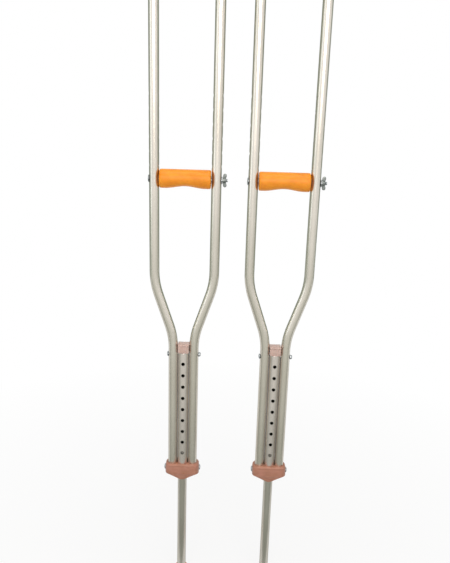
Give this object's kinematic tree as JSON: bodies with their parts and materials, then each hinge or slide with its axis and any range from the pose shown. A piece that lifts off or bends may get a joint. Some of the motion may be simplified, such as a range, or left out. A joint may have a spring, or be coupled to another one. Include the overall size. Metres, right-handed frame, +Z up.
{
  "type": "pair of underarm crutches",
  "caption": "Pair of adjustable aluminium underarm crutches: bent tube bows, sliding leg with snap button, rubber tip, amber hand grip on a bolt with wing nut, and underarm pad.",
  "frame": {"origin": "on the floor, midway between the two rubber tips", "axes": "+Z up along the crutches; +X from the left crutch to the right one, the way the grips run; -Y is the front, with the snap buttons"},
  "size_m": [0.3588, 0.0474, 1.3461],
  "materials": {
    "aluminium_tube": "satin anodised",
    "amber_rubber": "smooth moulded, slightly waxy",
    "tan_plastic": "moulded, fine matt",
    "plated_steel": "zinc plated",
    "spring_steel": "bare, oiled"
  },
  "bodies": {
    "left_frame": {"left_bow_bolt_side": "aluminium_tube", "left_bow_nut_side": "aluminium_tube", "left_leg_tube": "aluminium_tube", "left_spacer_block": "tan_plastic", "left_cross_bolt": "plated_steel", "left_cross_bolt_nut": "plated_steel", "left_collar": "tan_plastic", "left_collar_rivet_bolt_side": "plated_steel", "left_collar_rivet_nut_side": "plated_steel", "left_underarm_pad": "amber_rubber", "left_underarm_saddle": "tan_plastic", "left_saddle_screw_bolt_side": "plated_steel", "left_saddle_screw_nut_side": "plated_steel"},
    "left_leg": {"left_extension_tube": "aluminium_tube", "left_button_spring": "spring_steel", "left_tip": "amber_rubber", "left_tip_washer": "plated_steel"},
    "left_button": {"left_snap_button": "plated_steel"},
    "left_handgrip": {"left_grip": "amber_rubber", "left_grip_core": "tan_plastic", "left_grip_bolt": "plated_steel", "left_grip_washer": "plated_steel"},
    "left_nut": {"left_wing_nut": "plated_steel"},
    "right_frame": {"right_bow_bolt_side": "aluminium_tube", "right_bow_nut_side": "aluminium_tube", "right_leg_tube": "aluminium_tube", "right_spacer_block": "tan_plastic", "right_cross_bolt": "plated_steel", "right_cross_bolt_nut": "plated_steel", "right_collar": "tan_plastic", "right_collar_rivet_bolt_side": "plated_steel", "right_collar_rivet_nut_side": "plated_steel", "right_underarm_pad": "amber_rubber", "right_underarm_saddle": "tan_plastic", "right_saddle_screw_bolt_side": "plated_steel", "right_saddle_screw_nut_side": "plated_steel"},
    "right_leg": {"right_extension_tube": "aluminium_tube", "right_button_spring": "spring_steel", "right_tip": "amber_rubber", "right_tip_washer": "plated_steel"},
    "right_button": {"right_snap_button": "plated_steel"},
    "right_handgrip": {"right_grip": "amber_rubber", "right_grip_core": "tan_plastic", "right_grip_bolt": "plated_steel", "right_grip_washer": "plated_steel"},
    "right_nut": {"right_wing_nut": "plated_steel"}
  },
  "joints": [
    {"name": "left_leg_slide", "type": "slide", "parent": "left_frame", "child": "left_leg", "axis": [0, 0, 1], "range_m": [0, 0.2032], "deforming": ["left_snap_button", "left_button_spring"]},
    {"name": "left_snap_button_press", "type": "slide", "parent": "left_leg", "child": "left_button", "axis": [0, 1, 0], "range_m": [0, 0.005], "stiffness_N_per_m": 600, "springref_m": -0.004, "deforming": ["left_button_spring"]},
    {"name": "left_handgrip_height", "type": "slide", "parent": "left_frame", "child": "left_handgrip", "axis": [0, 0, 1], "range_m": [0, 0.1524]},
    {"name": "left_wing_nut_turn", "type": "hinge", "parent": "left_handgrip", "child": "left_nut", "pos_m": [-0.0196, 0, 0.9113], "axis": [1, 0, 0], "continuous": true},
    {"name": "right_crutch_stands_apart", "type": "slide", "parent": "left_frame", "child": "right_frame", "axis": [1, 0, 0], "range_m": [0, 0.3]},
    {"name": "right_leg_slide", "type": "slide", "parent": "right_frame", "child": "right_leg", "axis": [0, 0, 1], "range_m": [0, 0.2032], "deforming": ["right_snap_button", "right_button_spring"]},
    {"name": "right_snap_button_press", "type": "slide", "parent": "right_leg", "child": "right_button", "axis": [0, 1, 0], "range_m": [0, 0.005], "stiffness_N_per_m": 600, "springref_m": -0.004, "deforming": ["right_button_spring"]},
    {"name": "right_handgrip_height", "type": "slide", "parent": "right_frame", "child": "right_handgrip", "axis": [0, 0, 1], "range_m": [0, 0.1524]},
    {"name": "right_wing_nut_turn", "type": "hinge", "parent": "right_handgrip", "child": "right_nut", "pos_m": [0.1674, 0, 0.9113], "axis": [1, 0, 0], "continuous": true}
  ]
}
